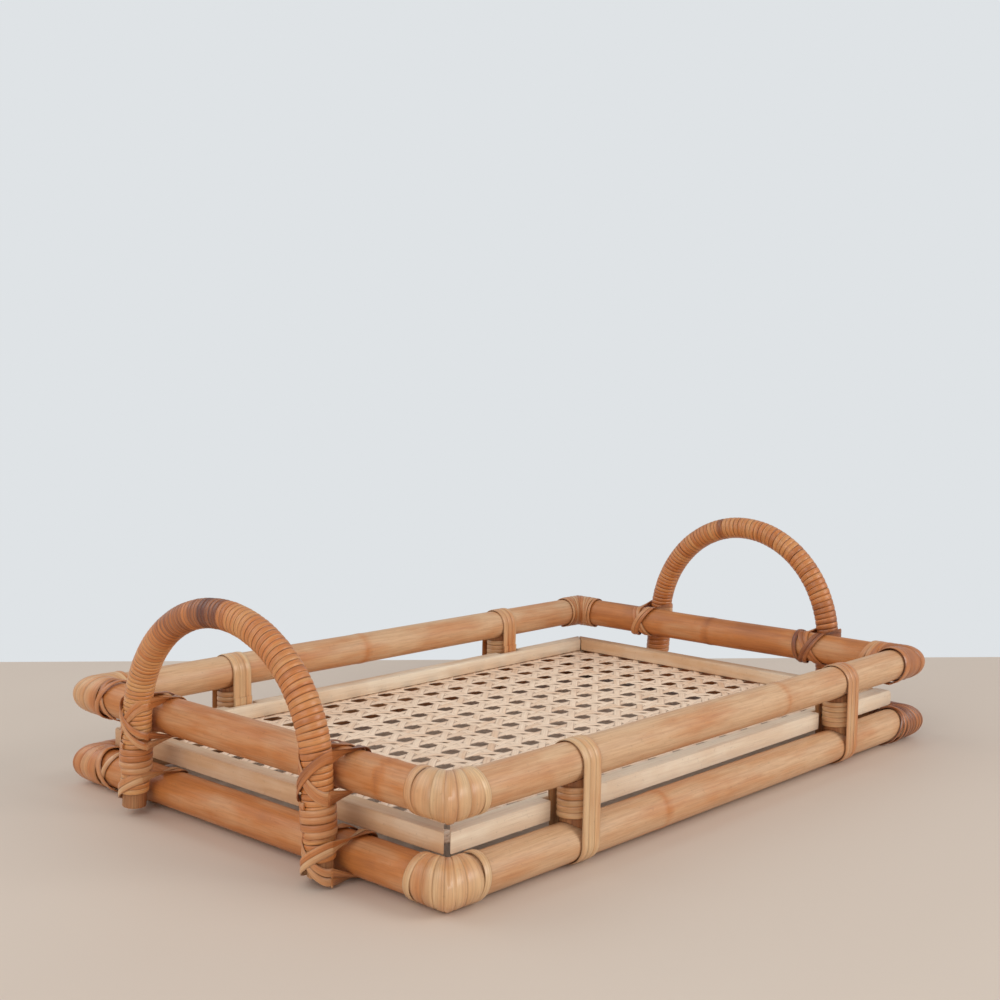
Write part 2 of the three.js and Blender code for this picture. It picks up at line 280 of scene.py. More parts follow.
POLE_SKIN = wooden(
    "pole_skin",
    [(218, 177, 136), (200, 126, 66), (142, 78, 38)],
    grain=(34, 900),
    streaks=0.26,
    rough=0.42,
    coat=0.12,
)
BARE_CANE = wooden(
    "bare_cane",
    [(214, 170, 120), (176, 118, 74), (110, 64, 38)],
    grain=(30, 900),
    streaks=0.5,
    rough=0.55,
)
PEEL = wooden(
    "peel",
    [(230, 190, 142), (202, 126, 68), (112, 56, 32)],
    grain=(26, 3.2),
    streaks=0.26,
    rough=0.32,
    rim=0.34,
    bump=0.3,
    coat=0.3,
)
WRAP_PEEL = wooden(
    "wrap_peel",
    [(232, 178, 116), (210, 128, 64), (104, 50, 28)],
    grain=(26, 3.2),
    streaks=0.3,
    rough=0.32,
    rim=0.8,
    bump=0.3,
    coat=0.3,
)
BATTEN_WOOD = wooden(
    "batten_wood",
    [(244, 228, 204), (218, 178, 138), (172, 120, 80)],
    grain=(18, 620),
    streaks=0.16,
    rough=0.55,
)
CANE_STRIP = wooden(
    "cane_strip",
    [(254, 227, 200), (228, 184, 146), (150, 92, 56)],
    grain=(30, 2.6),
    streaks=0.2,
    rough=0.5,
    rim=0.42,
    bump=0.3,
)


def steel_finish():
    material, tree = bare_material("nail_steel")
    place = put(tree, "ShaderNodeTexCoord").outputs["Object"]
    scuffs = effect(tree, SCUFFS, {"Place": place, "Scale": 260})
    colour = mixed(tree, scuffs["Rubbed"], linear(150, 148, 144), linear(92, 84, 78))
    rough = maths(tree, "MULTIPLY_ADD", scuffs["Rubbed"], 0.25, 0.32)
    relief = put(tree, "ShaderNodeBump", {"Strength": 0.2, "Distance": 0.1 * MM, "Height": scuffs["Speck"]})
    links = {"Base Color": colour, "Roughness": rough, "Metallic": 0.9, "Normal": relief.outputs[0]}
    add_surface(tree, links)
    return material


NAIL_STEEL = steel_finish()


# ---- making shapes ----


def started():
    bm = bmesh.new()
    bm.verts.layers.float_vector.new("fibre")
    bm.verts.layers.float.new("age")
    return bm


def rolled(bm, steps, around, place):
    """Rolls a grid up into a closed tube. place(along, turn) gives a vertex's point, fibre and age, for
    along from 0 to 1, and turn a whole number below around."""
    fibre = bm.verts.layers.float_vector["fibre"]
    age = bm.verts.layers.float["age"]
    verts = bmesh.ops.create_grid(bm, x_segments=steps, y_segments=around, size=1)["verts"]
    for vert in verts:
        along = (vert.co.x + 1) / 2
        turn = round((vert.co.y + 1) / 2 * around) % around
        vert.co, vert[fibre], vert[age] = place(along, turn)


def finished(bm, name, nodes, material, sharp=60):
    """Closes seams and ends, turns the faces out, and hangs the piece on the tray's one body."""
    bmesh.ops.remove_doubles(bm, verts=bm.verts, dist=0.0001 * MM)
    open_edges = [edge for edge in bm.edges if edge.is_boundary]
    if open_edges:
        bmesh.ops.holes_fill(bm, edges=open_edges, sides=0)
    bmesh.ops.recalc_face_normals(bm, faces=bm.faces)
    mesh = bpy.data.meshes.new(name)
    bm.to_mesh(mesh)
    bm.free()
    mesh.shade_smooth()
    mesh.set_sharp_from_angle(angle=math.radians(sharp))
    mesh.materials.append(material)
    piece = bpy.data.objects.new(name, mesh)
    bpy.context.scene.collection.objects.link(piece)
    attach(piece, "root")
    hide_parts(*nodes)


# ---- poles ----

POLE_SIDES = 32
POLE_STEP = 3 * MM
POLE_RIPPLE = 0.1 * MM
POLE_BOW = 0.35 * MM
MITRE_GAP = 0.2 * MM
KNOT_HALF = 2.6 * MM
KNOT_SWELL = 0.28 * MM


def draw_pole(node, tone, knots):
    """A pole, mitred at both ends. knots are the places of its nodes along it."""
    along_x = node.endswith(("front", "back"))
    centre = middle(node)
    outwards = math.copysign(1, centre.y if along_x else centre.x)
    half = CORNER_X if along_x else CORNER_Y
    seed = random.Random(node).uniform(1, 40)

    def place(along, turn):
        angle = TAU * turn / POLE_SIDES
        out, up = math.cos(angle), math.sin(angle)
        travel = (2 * along - 1) * (half + POLE_RADIUS * out - MITRE_GAP)
        knot = sum(math.exp(-(((travel - at) / KNOT_HALF) ** 2)) for at in knots)
        ripple = noise.noise(Vector((out * 2.2, up * 2.2, travel * 9 + seed)))
        radius = POLE_RADIUS + POLE_RIPPLE * ripple + KNOT_SWELL * knot
        bow = POLE_BOW * drift(travel, seed, 90 * MM) * smooth(half - abs(travel), 20 * MM, 70 * MM)
        across = outwards * (radius * out + bow)
        height = radius * up + bow * 0.6
        if along_x:
            point = Vector((travel, centre.y + across, centre.z + height))
        else:
            point = Vector((centre.x + across, travel, centre.z + height))
        fibre = Vector((travel + seed, radius * out, radius * up + seed))
        return point, fibre, tone + 0.25 * knot + 0.16 * drift(travel, seed, 60 * MM)

    bm = started()
    rolled(bm, round(2 * half / POLE_STEP), POLE_SIDES, place)
    finished(bm, node.replace("rail", "pole"), [node], POLE_SKIN)


POLES = {
    "lower_rail_front": (0.14, [-60 * MM]),
    "lower_rail_back": (0.3, [70 * MM]),
    "lower_rail_left": (0.52, []),
    "lower_rail_right": (0.46, [30 * MM]),
    "upper_rail_front": (0.14, [55 * MM]),
    "upper_rail_back": (0.2, [-18 * MM]),
    "upper_rail_left": (0.46, [-100 * MM]),
    "upper_rail_right": (0.58, [12 * MM]),
}
for node, (tone, knots) in POLES.items():
    draw_pole(node, tone, knots)


# ---- corner bindings ----

FOLD = 1.0 * MM  # how softly peel turns over the mitre
BAND_INNER = SLEEVE + 0.08 * MM
BAND_STEPS = 44
BAND_LAP = 1.12  # the width of a band that crosses the mitre, for each part of room that it has
BAND_WANDER = 0.35 * MM
BAND_END_LIFT = 0.5 * MM  # its last end lies over its first


def draw_binding(ring, face, side, fan, rings, tone, step=0.15, spread=2.6 * MM, peel=PEEL):
    """Peel bound round a mitred corner. fan gives the edges of the bands that cross the mitre, from -1
    on the long pole to 1 on the short one. Each of rings is a band beyond them: its pole, as -1 or 1,
    its distance from the corner, how it leans, its half width, its layer and its age. step is how
    far a band's free edge stands over the one before it, in millimetres. spread is how far the fan
    reaches along each pole on the corner's inner side."""
    right, back = SIDES[side], FACES[face]
    corner = Vector((right * CORNER_X, back * CORNER_Y, HEIGHTS[ring]))
    dice = random.Random(f"{ring}{face}{side}")

    def folded(travel, angle, radius):
        out = radius * math.cos(angle)
        soft = math.hypot(travel, FOLD)
        x = out + (travel - soft) / 2
        y = out - (travel + soft) / 2
        return corner + Vector((right * x, back * y, radius * math.sin(angle)))

    def band(route, half_width, layer, age, free_edge):
        overlap = dice.uniform(0.15, 0.5)
        seed = dice.uniform(1, 30)

        def place(along, turn):
            across, height = PEEL_SECTION[turn]
            angle = -TAU / 4 - overlap / 2 + along * (TAU + overlap)
            wander = BAND_WANDER * drift(angle, seed, 1.3)
            lift = layer * PEEL_THICKNESS + (1 - across) * free_edge * MM
            tuck = BAND_END_LIFT * smooth(along, 0.93, 1)
            radius = BAND_INNER + lift + tuck + PEEL_THICKNESS * height
            travel = route(angle) + wander + across * half_width(angle)
            fibre = Vector((angle * SLEEVE + seed, across, seed))
            return folded(travel, angle, radius), fibre, age + 0.1 * drift(angle, seed, 0.8)

        rolled(bm, BAND_STEPS, len(PEEL_SECTION), place)

    def fan_reach(angle):
        return SLEEVE * (1 + math.cos(angle)) + spread

    bm = started()
    for first, last in zip(fan, fan[1:]):
        at, share = (first + last) / 2, BAND_LAP * (last - first) / 2
        band(
            lambda angle: at * fan_reach(angle),
            lambda angle: share * fan_reach(angle),
            dice.uniform(0, 0.2),
            tone + dice.uniform(-0.1, 0.1),
            step,
        )
    for pole, distance, lean, half, layer, age in rings:
        band(
            lambda angle: pole * (distance * MM + SLEEVE * (math.cos(angle) - lean * math.sin(angle))),
            lambda angle: half * MM,
            layer,
            age,
            0,
        )
    node = f"corner_binding_{ring}_{face}_{side}"
    finished(bm, node, [node], peel)


def even(count):
    return [2 * i / count - 1 for i in range(count + 1)]


X_POLE, Y_POLE = -1, 1
CORNERS = {
    ("upper", "front", "left"): dict(
        fan=[-1, -0.62, -0.25, 0.12, 0.5, 1],
        rings=[(X_POLE, 14.6, 0.12, 2.2, 0.1, 0.04), (Y_POLE, 15, -0.1, 2.3, 0.1, 0.16)],
        tone=0.18,
        step=0.03,
    ),
    ("lower", "front", "left"): dict(
        fan=[-1, -0.55, -0.22, 0.1, 0.4, 0.7, 1],
        rings=[(X_POLE, 15.4, -0.2, 2.3, 0.3, 0.12), (Y_POLE, 15.2, 0.1, 2.2, 0.1, 0.24)],
        tone=0.16,
        step=0.04,
    ),
    ("upper", "front", "right"): dict(
        fan=[-1, -0.3, 0.02, 0.24, 0.46, 0.7, 1],
        rings=[
            (X_POLE, 16.5, 0.28, 3.2, 0.9, 0.5),
            (Y_POLE, 15.4, 0.14, 1.8, 0.2, 0.5),
            (Y_POLE, 19.4, 0.3, 1.8, 0.3, 0.42),
            (Y_POLE, 24, 0.45, 1.8, 0.2, 0.52),
        ],
        tone=0.62,
    ),
    ("lower", "front", "right"): dict(
        fan=even(11),
        rings=[
            (X_POLE, 16.4, 0.3, 1.5, 0.9, 0.8),
            (X_POLE, 20.5, 0.7, 1.5, 0.2, 0.66),
            (Y_POLE, 15, 0.1, 1.8, 0.1, 0.7),
        ],
        tone=0.82,
        peel=WRAP_PEEL,
    ),
    ("upper", "back", "left"): dict(
        fan=[-1, -0.55, -0.15, 0.2, 0.55, 1],
        rings=[
            (X_POLE, 16.4, 0.3, 1.7, 0.2, 0.45),
            (Y_POLE, 17.4, -0.45, 1.7, 0.9, 0.4),
            (Y_POLE, 19.5, 0.5, 1.7, 0.1, 0.6),
        ],
        tone=0.4,
        step=0.08,
    ),
    ("lower", "back", "left"): dict(
        fan=even(7),
        rings=[
            (X_POLE, 16.4, 0.2, 2, 0.2, 0.6),
            (Y_POLE, 18.6, 0.6, 2, 0.9, 0.5),
            (Y_POLE, 20.5, -0.4, 1.8, 0.1, 0.3),
        ],
        tone=0.5,
    ),
    ("upper", "back", "right"): dict(
        fan=even(9),
        rings=[(X_POLE, 17.4, 0.05, 1.3, 0.1, 0.3), (Y_POLE, 17.4, -0.05, 1.3, 0.1, 0.42)],
        spread=6 * MM,
        tone=0.42,
    ),
    ("lower", "back", "right"): dict(
        fan=even(8),
        rings=[(X_POLE, 17.4, 0.06, 1.6, 0.1, 0.4), (Y_POLE, 17.4, 0.1, 1.6, 0.1, 0.5)],
        spread=6 * MM,
        tone=0.45,
    ),
}
for (ring, face, side), look in CORNERS.items():
    draw_binding(ring, face, side, **look)


# ---- windings ----

TURN_HALF = 0.53  # half a strand's width, for each part of its turn, so that turns meet
TURN_RIPPLE = 0.1 * MM
SQUARED = 0.35  # how far a flat turn's edges come up


def draw_winding(bm, route, start, end, pitch, inner, seed, age, steps=20, flatten=None, broader=0.0):
    """A strand wound along a route from start to end. route(travel) gives a point on the axis, and two
    directions across it. age and flatten depend on the travel. broader widens the turns of the first
    half by up to that share, and narrows the others as much."""
    turns = (end - start) / pitch

    def place(along, turn):
        across, height = PEEL_SECTION[turn]
        angle = TAU * turns * along
        wobble = drift(angle, seed, 2.1)
        turn_width = pitch * (1 + broader * math.sin(TAU * along))
        reached = along + broader * (1 - math.cos(TAU * along)) / TAU
        travel = start + pitch * turns * reached + across * turn_width * TURN_HALF + 0.1 * pitch * wobble
        raised = SQUARED * flatten(travel) if flatten else 0
        dome = height * (1 - raised) + (raised if height else 0)
        radius = inner + WRAP_THICKNESS * dome + TURN_RIPPLE * drift(angle, seed + 3, 3.5)
        centre, side, out = route(min(max(travel, start - pitch), end + pitch))
        point = centre + radius * (math.cos(angle) * side + math.sin(angle) * out)
        fibre = Vector((angle * inner + seed, across, 0.35 * turns * along + seed))
        return point, fibre, age(travel) + 0.13 * drift(turns * along, seed, 1.7)

    rolled(bm, round(turns * steps), len(PEEL_SECTION), place)


# ---- posts, with their windings and straps ----

POST_STEPS = 12
POST_TURNS = 6
POST_TURN_INNER = 7.9 * MM
STRAP_STRANDS = 3
STRAP_WIDTH = 13 * MM
STRAP_INNER = SLEEVE + 0.06 * MM
STRAP_STEPS = 96
STRAP_GOES_ROUND = 1.035
STRAP_END_LIFT = 0.7 * MM
STRAP_TONES = {"left": 0.14, "right": 0.36}


def draw_post(face, side):
    """A short upright with its ends hollowed to sit on the poles, and the strand wound round it."""
    node = f"post_{face}_{side}"
    low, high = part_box(node)
    centre = (low + high) / 2
    radius = (high.x - low.x) / 2
    seed = random.Random(node).uniform(1, 30)

    def core(along, turn):
        angle = TAU * turn / POLE_SIDES
        out, up = math.cos(angle), math.sin(angle)
        hollow = SLEEVE - math.sqrt(SLEEVE**2 - (radius * up) ** 2)
        start = HEIGHTS["lower"] + SLEEVE - hollow
        end = HEIGHTS["upper"] - SLEEVE + hollow
        height = start + (end - start) * along
        rim = radius * (1 - 0.006 * noise.noise(Vector((out * 2, up * 2, height * 60))))
        point = Vector((centre.x + rim * out, centre.y + rim * up, height))
        return point, Vector((height + seed, rim * out, rim * up)), 0.5

    bm = started()
    rolled(bm, POST_STEPS, POLE_SIDES, core)
    finished(bm, f"{node}_core", [node], BARE_CANE)

    def upright(travel):
        return Vector((centre.x, centre.y, travel)), Vector((1, 0, 0)), Vector((0, 1, 0))

    winding = f"post_winding_{face}_{side}"
    foot, top = (end.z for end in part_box(winding))
    pitch = (top - foot) / POST_TURNS
    bm = started()
    draw_winding(
        bm,
        upright,
        foot + pitch / 2,
        top - pitch / 2,
        pitch,
        POST_TURN_INNER,
        seed,
        lambda travel: 0.2,
        steps=28,
    )
    finished(bm, winding, [winding], PEEL)


def draw_strap(face, side):
    """Strands that pass over the upper pole and under the lower one, side by side."""
    node = f"post_strap_{face}_{side}"
    centre = middle(node)
    back = FACES[face]
    lower, upper = HEIGHTS["lower"], HEIGHTS["upper"]
    rise = upper - lower
    half_turn = STRAP_INNER * TAU / 2
    girth = 2 * rise + 2 * half_turn
    each = STRAP_WIDTH / STRAP_STRANDS
    dice = random.Random(node)

    def looped(travel, reach):
        """How far out and how high a strand is. It starts half way up the inner side, and goes over
        the top first."""
        if travel < rise / 2:
            return -reach, lower + rise / 2 + travel
        travel -= rise / 2
        if travel < half_turn:
            angle = travel / STRAP_INNER
            return -reach * math.cos(angle), upper + reach * math.sin(angle)
        travel -= half_turn
        if travel < rise:
            return reach, upper - travel
        travel -= rise
        if travel < half_turn:
            angle = travel / STRAP_INNER
            return reach * math.cos(angle), lower - reach * math.sin(angle)
        return -reach, lower + travel - half_turn

    bm = started()
    for strand in range(STRAP_STRANDS):
        seed = dice.uniform(1, 30)
        offset = (strand - (STRAP_STRANDS - 1) / 2) * each
        tone = STRAP_TONES[side] + dice.uniform(-0.1, 0.1)

        def place(along, turn):
            across, height = PEEL_SECTION[turn]
            reach = STRAP_INNER + PEEL_THICKNESS * height + STRAP_END_LIFT * smooth(along, 0.955, 0.975)
            travel = (along * STRAP_GOES_ROUND * girth) % girth
            out, up = looped(travel, reach)
            wander = 0.3 * MM * drift(travel, seed, 25 * MM)
            x = centre.x + offset + wander + across * each * 0.54
            fibre = Vector((travel + seed, across, seed))
            return Vector((x, centre.y + back * out, up)), fibre, tone + 0.08 * drift(travel, seed, 20 * MM)

        rolled(bm, STRAP_STEPS, len(PEEL_SECTION), place)
    finished(bm, node, [node], PEEL)


for face in FACES:
    for side in SIDES:
        draw_post(face, side)
        draw_strap(face, side)


# ---- handles ----

HANDLE_RADIUS = 6.2 * MM
HANDLE_SIDES = 12
HANDLE_STEPS = 120
BEND_POINTS = 90
HANDLE_HALF = 70.5 * MM  # from the middle to a leg, at the upper ring
HANDLE_SPLAY = 3.5 * MM
HANDLE_FOOT = 4.6 * MM
WRAP_FOOT = 13 * MM
WRAP_INNER = 6.5 * MM
# How far apart the turns are, and how much broader the first ones are.
HANDLE_TURNS = {"left": (2.75 * MM, 0.12), "right": (3.2 * MM, 0.15)}


def handle_route(side):
    """The handle's axis as a table of travel and point: up a leg, over the bend, and down."""
    node = f"handle_{side}"
    x = middle(node).x
    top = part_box(node)[1].z - HANDLE_RADIUS
    upper = HEIGHTS["upper"]
    foot = HANDLE_HALF + HANDLE_SPLAY * (upper - HANDLE_FOOT) / upper
    points = [Vector((x, -foot, HANDLE_FOOT))]
    for i in range(BEND_POINTS + 1):
        angle = TAU / 2 * (1 - i / BEND_POINTS)
        points.append(Vector((x, HANDLE_HALF * math.cos(angle), upper + (top - upper) * math.sin(angle))))
    points.append(Vector((x, foot, HANDLE_FOOT)))
    travels = [0]
    for first, second in zip(points, points[1:]):
        travels.append(travels[-1] + (second - first).length)
    outwards = Vector((math.copysign(1, x), 0, 0))

    def route(travel):
        travel = min(max(travel, 0), travels[-1])
        high = min(bisect.bisect_right(travels, travel), len(travels) - 1)
        low = high - 1
        first, second = points[low], points[high]
        share = (travel - travels[low]) / (travels[high] - travels[low])
        here = (second - first).normalized()
        before = (first - points[low - 1]).normalized() if low else here
        after = (points[high + 1] - second).normalized() if high + 1 < len(points) else here
        leaving, arriving = (before + here).normalized(), (here + after).normalized()
        heading = (leaving * (1 - share) + arriving * share).normalized()
        return first.lerp(second, share), outwards, heading.cross(outwards)

    return route, travels[-1]


def draw_handle(side, darken, flatness):
    """A bent cane and the strand wound round it. darken and flatness go by the share of its length."""
    node = f"handle_{side}"
    route, length = handle_route(side)
    seed = random.Random(node).uniform(1, 30)

    def core(along, turn):
        angle = TAU * turn / HANDLE_SIDES
        centre, across, out = route(along * length)
        side_part, out_part = HANDLE_RADIUS * math.cos(angle), HANDLE_RADIUS * math.sin(angle)
        point = centre + side_part * across + out_part * out
        return point, Vector((along * length, side_part, out_part)), 0.45

    bm = started()
    rolled(bm, HANDLE_STEPS, HANDLE_SIDES, core)
    finished(bm, f"{node}_core", [node], BARE_CANE)

    start = WRAP_FOOT - HANDLE_FOOT
    pitch, broader = HANDLE_TURNS[side]
    bm = started()
    draw_winding(
        bm,
        route,
        start,
        length - start,
        pitch,
        WRAP_INNER,
        seed,
        lambda travel: darken(travel / length),
        flatten=lambda travel: flatness(travel / length),
        broader=broader,
    )
    wrap = f"handle_wrap_{side}"
    finished(bm, wrap, [wrap], WRAP_PEEL)
    return route, length


def plateau(share, low, high, ease):
    """1 between low and high, easing to 0 beyond them."""
    return smooth(share, low - ease, low) * (1 - smooth(share, high, high + ease))


def left_darkening(share):
    lighter = 0.2 * smooth(share, 0.68, 0.8)
    return 0.48 + 0.22 * plateau(share, 0.5, 0.64, 0.05) + 0.26 * plateau(share, 0.487, 0.53, 0.006) - lighter


def left_flatness(share):
    return 0.35 + 0.65 * plateau(share, 0.49, 0.72, 0.01) - 0.35 * plateau(share, 0.25, 0.47, 0.05)


def right_darkening(share):
    dark_turn = 0.4 * plateau(share, 0.548, 0.556, 0.004)
    return 0.52 - 0.1 * plateau(share, 0.4, 0.6, 0.1) + 0.4 * (1 - smooth(share, 0.1, 0.3)) + dark_turn


def right_flatness(share):
    return 0.3 * plateau(share, 0.4, 0.6, 0.1)


routes = {
    "left": draw_handle("left", left_darkening, left_flatness),
    "right": draw_handle("right", right_darkening, right_flatness),
}


# ---- lashings ----

LASHING_STEPS = 64
LASHING_HALF = 1.55 * MM
LASHING_END_LIFT = 0.4 * MM
LASHING_GAP = 0.1 * MM
ON_LEG = 0.55  # a loop lies flatter round the leg than round the pole
LEAST_SLOPE = 0.2
TIE = dict(tilt=0.12, layer=0.2, half=1.6 * MM, age=0.92, pole_only=True)
TIE_PLACE = 9.5 * MM
COLLAR_DROP = 12.5 * MM  # from the pole's axis down to the collar's first turn
COLLAR_TURNS = 4
COLLAR_PITCH = 3.3 * MM


def draw_lashing(ring, side, face, route, length, ways, raised, tones, tie):
    """Loops of peel that cross over a handle's leg and behind its pole. ways are their tilts, in turns,
    and raised is how far up the leg they cross it. The upper ones have a collar wound below them."""
    node = f"lashing_{ring}_{side}_{face}"
    right, back = SIDES[side], FACES[face]
    height = HEIGHTS[ring]
    rise = height - HANDLE_FOOT
    leg = route(rise if back < 0 else length - rise)[0]
    gap = abs(leg.x) - CORNER_X
    dice = random.Random(node)
    bm = started()

    def loop(tilt, offset, layer, half, age, pole_only=False):
        seed = dice.uniform(1, 30)
        overlap = dice.uniform(0.2, 0.4)
        # A loop's travel runs up its slope. Strands lie side by side along the pole, and up the leg.
        slope, level = math.sin(tilt), math.cos(tilt)
        steep = max(abs(slope), LEAST_SLOPE)

        def place(along, turn):
            across, up = PEEL_SECTION[turn]
            lift = layer * PEEL_THICKNESS + PEEL_THICKNESS * up + LASHING_END_LIFT * smooth(along, 0.94, 0.98)
            angle = -TAU / 4 - overlap / 2 + along * (TAU + overlap)
            cosine, sine = math.cos(angle), math.sin(angle)
            on_pole, on_leg = SLEEVE + LASHING_GAP + lift, LASHING_INNER + lift
            pole_reach = math.hypot(on_pole * cosine, on_pole / level * sine)
            leg_reach = math.hypot(on_leg * cosine, on_leg * sine / steep)
            beside = offset + across * half + 0.25 * MM * drift(angle, seed, 1.1)
            if pole_only or pole_reach >= gap * cosine + leg_reach:
                x = on_pole**2 * cosine / pole_reach
                travel = (on_pole / level) ** 2 * sine / pole_reach
                along_pole, upwards = travel * slope + beside / level, travel * level
            else:
                x = gap + on_leg**2 * cosine / leg_reach
                travel = (on_leg / steep) ** 2 * sine / leg_reach
                along_pole, upwards = travel * slope, travel * level * ON_LEG - beside * 1.2 + raised
            point = Vector((right * (CORNER_X + x), leg.y + along_pole, height + upwards))
            fibre = Vector((angle * 12 * MM + seed, across, seed))
            return point, fibre, age + 0.1 * drift(angle, seed, 0.9)

        rolled(bm, LASHING_STEPS, len(PEEL_SECTION), place)

    for index, way in enumerate(ways):
        for offset in (-0.95 * LASHING_HALF, 0.95 * LASHING_HALF):
            tilt = way * TAU + dice.uniform(-0.04, 0.04)
            loop(tilt, offset, 0.1 + 0.75 * index, LASHING_HALF, tones[index] + dice.uniform(-0.08, 0.08))
    if tie:
        loop(offset=-back * TIE_PLACE, **TIE)
    if ring == "upper":
        top = rise - COLLAR_DROP
        ends = (top - COLLAR_TURNS * COLLAR_PITCH, top)
        if back > 0:
            ends = (length - ends[1], length - ends[0])
        seed = dice.uniform(1, 30)
        draw_winding(bm, route, *ends, COLLAR_PITCH, LASHING_INNER, seed, lambda travel: tones[0])
    finished(bm, node, [node], PEEL)


LASHINGS = {
    # The second tone, 0.74, darkens the second loops to the dark brown patch left of the leg at the pole's
    # top: partly the peel's own colour and partly painted shade.
    ("upper", "left", "front"): dict(ways=(0.075, -0.07), raised=0, tones=(0.5, 0.74), tie=True),
    ("upper", "left", "back"): dict(ways=(-0.07, 0.075), raised=0, tones=(0.4, 0.46), tie=False),
    ("upper", "right", "front"): dict(ways=(0.09, -0.08), raised=0, tones=(0.66, 0.8), tie=True),
    ("upper", "right", "back"): dict(ways=(0.07, -0.08), raised=0, tones=(0.4, 0.5), tie=False),
    ("lower", "left", "front"): dict(ways=(0.085, -0.1), raised=1.5 * MM, tones=(0.3, 0.36), tie=False),
    ("lower", "left", "back"): dict(ways=(-0.115,), raised=4.5 * MM, tones=(0.34,), tie=False),
    ("lower", "right", "front"): dict(ways=(0.1, -0.1), raised=2 * MM, tones=(0.5, 0.6), tie=False),
    ("lower", "right", "back"): dict(ways=(0.11,), raised=4 * MM, tones=(0.46,), tie=False),
}
for (ring, side, face), look in LASHINGS.items():
    draw_lashing(ring, side, face, *routes[side], **look)


# ---- battens ----

BATTEN_EDGE = 0.7 * MM
ROUNDED_CORNER = 4 * MM
BATTEN_CUTS = 24
LIP_WIDTH = 1.4 * MM
LIP_DROP = 1.7 * MM
NOTCH_HALF = 10.5 * MM
NOTCH_INSET = 11.6 * MM
NEAR = 0.1 * MM


def cut_through(bm, point, normal):
    whole = bm.verts[:] + bm.edges[:] + bm.faces[:]
    bmesh.ops.bisect_plane(bm, geom=whole, plane_co=point, plane_no=normal)


def eased_edges(bm, edges, offset, segments):
    bmesh.ops.bevel(
        bm,
        geom=edges,
        offset=offset,
        offset_type="OFFSET",
        segments=segments,
        profile=0.5,
        affect="EDGES",
        material=-1,
    )


def draw_batten(name, outline, along_x, tone, rounded_end=None):
    """A flat stick of the given outline, with a lip along its outer edge that comes down over the ends
    of the cane."""
    node = f"batten_{name}"
    low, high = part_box(node)
    bm = started()
    fibre = bm.verts.layers.float_vector["fibre"]
    age = bm.verts.layers.float["age"]
    base = bm.faces.new([bm.verts.new((x, y, low.z)) for x, y in outline])
    raised = bmesh.ops.extrude_face_region(bm, geom=[base])["geom"]
    lifted = [item for item in raised if isinstance(item, bmesh.types.BMVert)]
    bmesh.ops.translate(bm, vec=(0, 0, high.z - low.z), verts=lifted)
    if rounded_end is not None:
        at_end = {vert for vert in lifted if abs(vert.co.x - rounded_end) < NEAR}
        eased_edges(bm, [edge for edge in bm.edges if at_end.issuperset(edge.verts)], ROUNDED_CORNER, 5)
    sharp = [edge for edge in bm.edges if edge.is_manifold and edge.calc_face_angle(0) > math.radians(40)]
    eased_edges(bm, sharp, BATTEN_EDGE, 2)

    length_axis, width_axis = (0, 1) if along_x else (1, 0)
    length_normal, width_normal = Vector((0, 0, 0)), Vector((0, 0, 0))
    length_normal[length_axis] = 1
    width_normal[width_axis] = 1
    outer = max(low[width_axis], high[width_axis], key=abs)
    line = outer - math.copysign(LIP_WIDTH, outer)
    cut_through(bm, width_normal * line, width_normal)
    for vert in bm.verts:
        if vert.co.z < low.z + 1.2 * BATTEN_EDGE and abs(vert.co[width_axis]) > abs(line) + NEAR:
            vert.co.z -= LIP_DROP

    # Cuts across the length let a stick be a little uneven, as a planed one is.
    reach = high[length_axis] - low[length_axis]
    for cut in range(1, BATTEN_CUTS):
        cut_through(bm, length_normal * (low[length_axis] + reach * cut / BATTEN_CUTS), length_normal)
    seed = random.Random(name).uniform(1, 30)
    for vert in bm.verts:
        travel = vert.co[length_axis]
        vert[fibre] = Vector((travel + seed, vert.co[width_axis], vert.co.z + seed))
        vert[age] = tone + 0.1 * drift(travel, seed, 80 * MM)
        vert.co.z += 0.16 * MM * drift(travel, seed + 5, 70 * MM)
    finished(bm, node, [node], BATTEN_WOOD, sharp=32)


def notched(x_places, outer, inner):
    """The points of an outer edge along X that leaves room for each post."""
    points = []
    for x in x_places:
        start, end = x - NOTCH_HALF, x + NOTCH_HALF
        points += [(start, outer), (start, inner), (end, inner), (end, outer)]
    return points


PANEL_LOW, PANEL_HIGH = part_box("cane_panel")
front_low, front_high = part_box("batten_front")
left_low, left_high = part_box("batten_left")
right_low, right_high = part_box("batten_right")
back_low, back_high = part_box("batten_back")
BATTEN_WIDTH = front_high.y - front_low.y
SLIT = 2.0 * MM  # the front left mitre stands open
JOIN = 0.35 * MM
NOTCH_Y = CORNER_Y - NOTCH_INSET
front_posts = [middle(f"post_front_{side}").x for side in SIDES]
back_posts = [middle(f"post_back_{side}").x for side in SIDES]

front_outline = [
    (PANEL_LOW.x + SLIT, front_low.y),
    *notched(front_posts, front_low.y, -NOTCH_Y),
    (front_high.x, front_low.y),
    (front_high.x, front_high.y),
    (PANEL_LOW.x + BATTEN_WIDTH + SLIT, front_high.y),
]
back_outline = [
    (back_low.x, back_high.y),
    *notched(back_posts, back_high.y, NOTCH_Y),
    (back_high.x, back_high.y),
    (back_high.x - BATTEN_WIDTH, back_low.y),
    (back_low.x + BATTEN_WIDTH, back_low.y),
]
left_outline = [
    (left_low.x, PANEL_LOW.y + SLIT),
    (left_low.x, PANEL_HIGH.y - JOIN),
    (left_high.x, PANEL_HIGH.y - BATTEN_WIDTH - JOIN),
    (left_high.x, PANEL_LOW.y + BATTEN_WIDTH + SLIT),
]
right_outline = [
    (right_low.x, right_low.y),
    (right_low.x, PANEL_HIGH.y - BATTEN_WIDTH - JOIN),
    (right_high.x, PANEL_HIGH.y - JOIN),
    (right_high.x, right_low.y),
]
draw_batten("front", front_outline, True, 0.05, rounded_end=front_high.x)
draw_batten("back", back_outline, True, 0.16)
